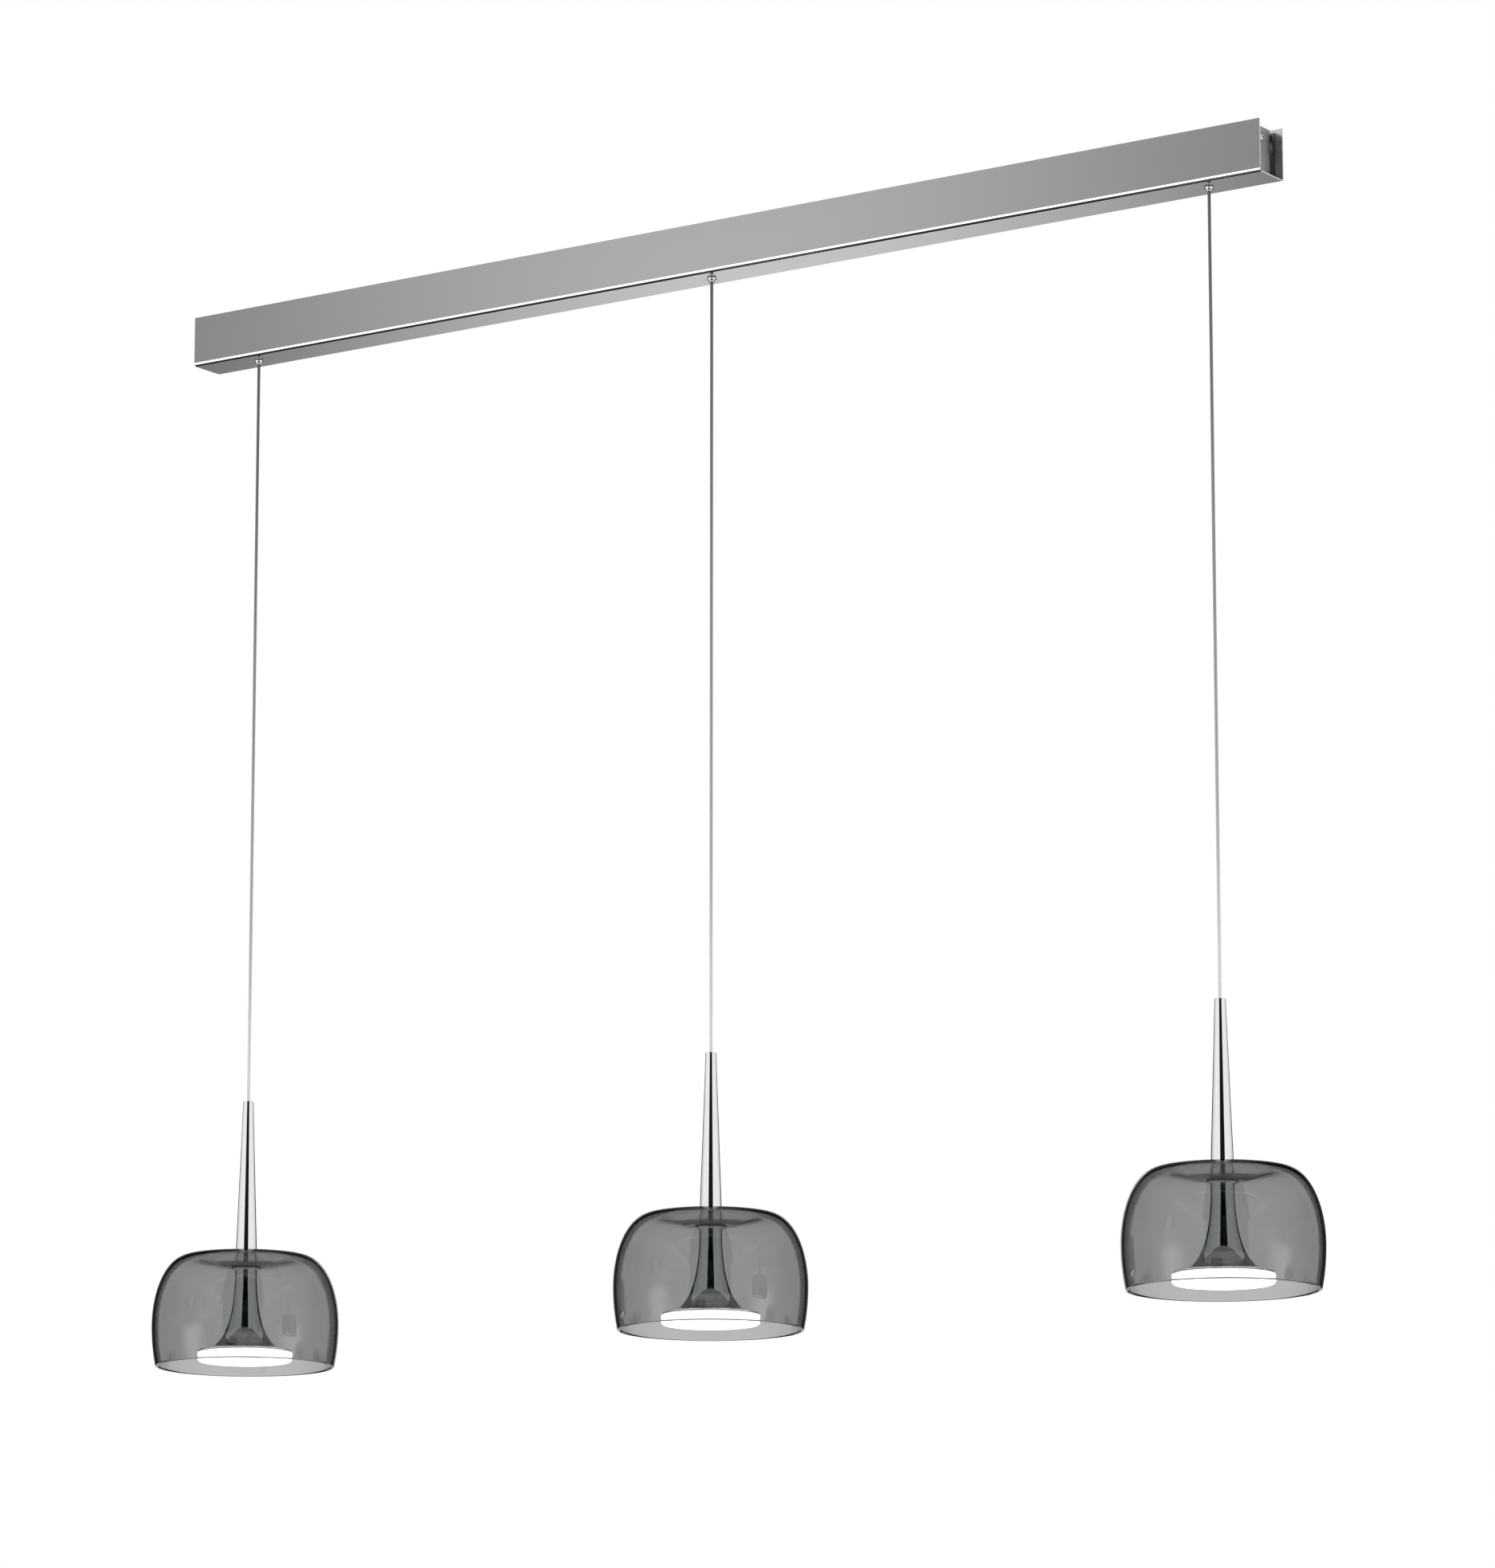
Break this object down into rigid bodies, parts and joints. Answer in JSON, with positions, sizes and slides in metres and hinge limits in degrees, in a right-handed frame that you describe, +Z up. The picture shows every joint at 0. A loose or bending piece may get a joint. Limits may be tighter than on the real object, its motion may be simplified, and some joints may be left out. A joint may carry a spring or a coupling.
{
  "type": "linear island pendant",
  "caption": "Slim polished ceiling canopy with height-adjustable cords, each carrying a tapered chrome stem, a smoked glass bell and a flat glowing lamp, to light a long table or island",
  "frame": {"origin": "middle of the canopy in the ceiling plane", "axes": "+Z up out of the ceiling face, +X along the canopy towards its right end, +Y to the back"},
  "size_m": [1.207, 0.171, 0.9948],
  "materials": {
    "canopy_metal": "polished sheet with a soft satin sheen",
    "chrome": "bright chrome plate",
    "smoked_glass": "clear smoked grey, glossy",
    "opal": "opal white, lit from inside",
    "clear_trim": "clear, glossy",
    "cord_jacket": "clear jacket over a silvery braid",
    "zinc_steel": "zinc plated",
    "driver_case": "moulded, fine texture",
    "terminal_plastic": "natural nylon",
    "nylon": "natural nylon",
    "silicone": "dark silicone",
    "brass": "turned",
    "spring_steel": "drawn wire",
    "board": "white solder mask over aluminium"
  },
  "bodies": {
    "canopy": {"canopy_cover": "canopy_metal", "end_plate_left": "canopy_metal", "end_plate_right": "canopy_metal", "ceiling_bracket": "zinc_steel", "canopy_screws": "zinc_steel", "led_driver": "driver_case", "mains_terminal": "terminal_plastic", "driver_leads": "cord_jacket", "grip_caps": "chrome", "grip_jaws": "brass", "grip_body_left": "brass", "grip_spring_left": "spring_steel", "grip_body_centre": "brass", "grip_spring_centre": "spring_steel", "grip_body_right": "brass", "grip_spring_right": "spring_steel"},
    "plunger_left": {"grip_plunger_left": "chrome"},
    "guide_left": {"cord_guide_left": "nylon"},
    "hanging_cord_left": {"cord_left": "cord_jacket"},
    "pendant_left": {"stem_left": "chrome", "stem_bush_left": "nylon", "cord_clamp_left": "brass", "lamp_lead_left": "cord_jacket", "join_nipple_left": "brass", "seal_ring_left": "silicone", "trumpet_left": "chrome", "led_board_left": "board", "trim_ring_left": "clear_trim", "diffuser_left": "opal"},
    "glass_left": {"shade_left": "smoked_glass"},
    "plunger_centre": {"grip_plunger_centre": "chrome"},
    "guide_centre": {"cord_guide_centre": "nylon"},
    "hanging_cord_centre": {"cord_centre": "cord_jacket"},
    "pendant_centre": {"stem_centre": "chrome", "stem_bush_centre": "nylon", "cord_clamp_centre": "brass", "lamp_lead_centre": "cord_jacket", "join_nipple_centre": "brass", "seal_ring_centre": "silicone", "trumpet_centre": "chrome", "led_board_centre": "board", "trim_ring_centre": "clear_trim", "diffuser_centre": "opal"},
    "glass_centre": {"shade_centre": "smoked_glass"},
    "plunger_right": {"grip_plunger_right": "chrome"},
    "guide_right": {"cord_guide_right": "nylon"},
    "hanging_cord_right": {"cord_right": "cord_jacket"},
    "pendant_right": {"stem_right": "chrome", "stem_bush_right": "nylon", "cord_clamp_right": "brass", "lamp_lead_right": "cord_jacket", "join_nipple_right": "brass", "seal_ring_right": "silicone", "trumpet_right": "chrome", "led_board_right": "board", "trim_ring_right": "clear_trim", "diffuser_right": "opal"},
    "glass_right": {"shade_right": "smoked_glass"}
  },
  "joints": [
    {"name": "press_left", "type": "slide", "parent": "canopy", "child": "plunger_left", "axis": [0, 0, 1], "range_m": [0, 0.0015], "stiffness_N_per_m": 400, "springref_m": -0.002, "deforming": ["grip_spring_left"]},
    {"name": "swing_along_left", "type": "hinge", "parent": "canopy", "child": "guide_left", "pos_m": [-0.518, 0, -0.04945], "axis": [0, 1, 0], "range_deg": [-8, 8]},
    {"name": "swing_across_left", "type": "hinge", "parent": "guide_left", "child": "hanging_cord_left", "pos_m": [-0.518, 0, -0.04945], "axis": [1, 0, 0], "range_deg": [-15, 15]},
    {"name": "height_left", "type": "slide", "parent": "hanging_cord_left", "child": "pendant_left", "axis": [0, 0, 1], "range_m": [0, 0.45], "deforming": ["cord_left"]},
    {"name": "lift_glass_left", "type": "slide", "parent": "pendant_left", "child": "glass_left", "axis": [0, 0, 1], "range_m": [0, 0.12]},
    {"name": "press_centre", "type": "slide", "parent": "canopy", "child": "plunger_centre", "axis": [0, 0, 1], "range_m": [0, 0.0015], "stiffness_N_per_m": 400, "springref_m": -0.002, "deforming": ["grip_spring_centre"]},
    {"name": "swing_along_centre", "type": "hinge", "parent": "canopy", "child": "guide_centre", "pos_m": [0, 0, -0.04945], "axis": [0, 1, 0], "range_deg": [-8, 8]},
    {"name": "swing_across_centre", "type": "hinge", "parent": "guide_centre", "child": "hanging_cord_centre", "pos_m": [0, 0, -0.04945], "axis": [1, 0, 0], "range_deg": [-15, 15]},
    {"name": "height_centre", "type": "slide", "parent": "hanging_cord_centre", "child": "pendant_centre", "axis": [0, 0, 1], "range_m": [0, 0.45], "deforming": ["cord_centre"]},
    {"name": "lift_glass_centre", "type": "slide", "parent": "pendant_centre", "child": "glass_centre", "axis": [0, 0, 1], "range_m": [0, 0.12]},
    {"name": "press_right", "type": "slide", "parent": "canopy", "child": "plunger_right", "axis": [0, 0, 1], "range_m": [0, 0.0015], "stiffness_N_per_m": 400, "springref_m": -0.002, "deforming": ["grip_spring_right"]},
    {"name": "swing_along_right", "type": "hinge", "parent": "canopy", "child": "guide_right", "pos_m": [0.518, 0, -0.04945], "axis": [0, 1, 0], "range_deg": [-8, 8]},
    {"name": "swing_across_right", "type": "hinge", "parent": "guide_right", "child": "hanging_cord_right", "pos_m": [0.518, 0, -0.04945], "axis": [1, 0, 0], "range_deg": [-15, 15]},
    {"name": "height_right", "type": "slide", "parent": "hanging_cord_right", "child": "pendant_right", "axis": [0, 0, 1], "range_m": [0, 0.45], "deforming": ["cord_right"]},
    {"name": "lift_glass_right", "type": "slide", "parent": "pendant_right", "child": "glass_right", "axis": [0, 0, 1], "range_m": [0, 0.12]}
  ]
}
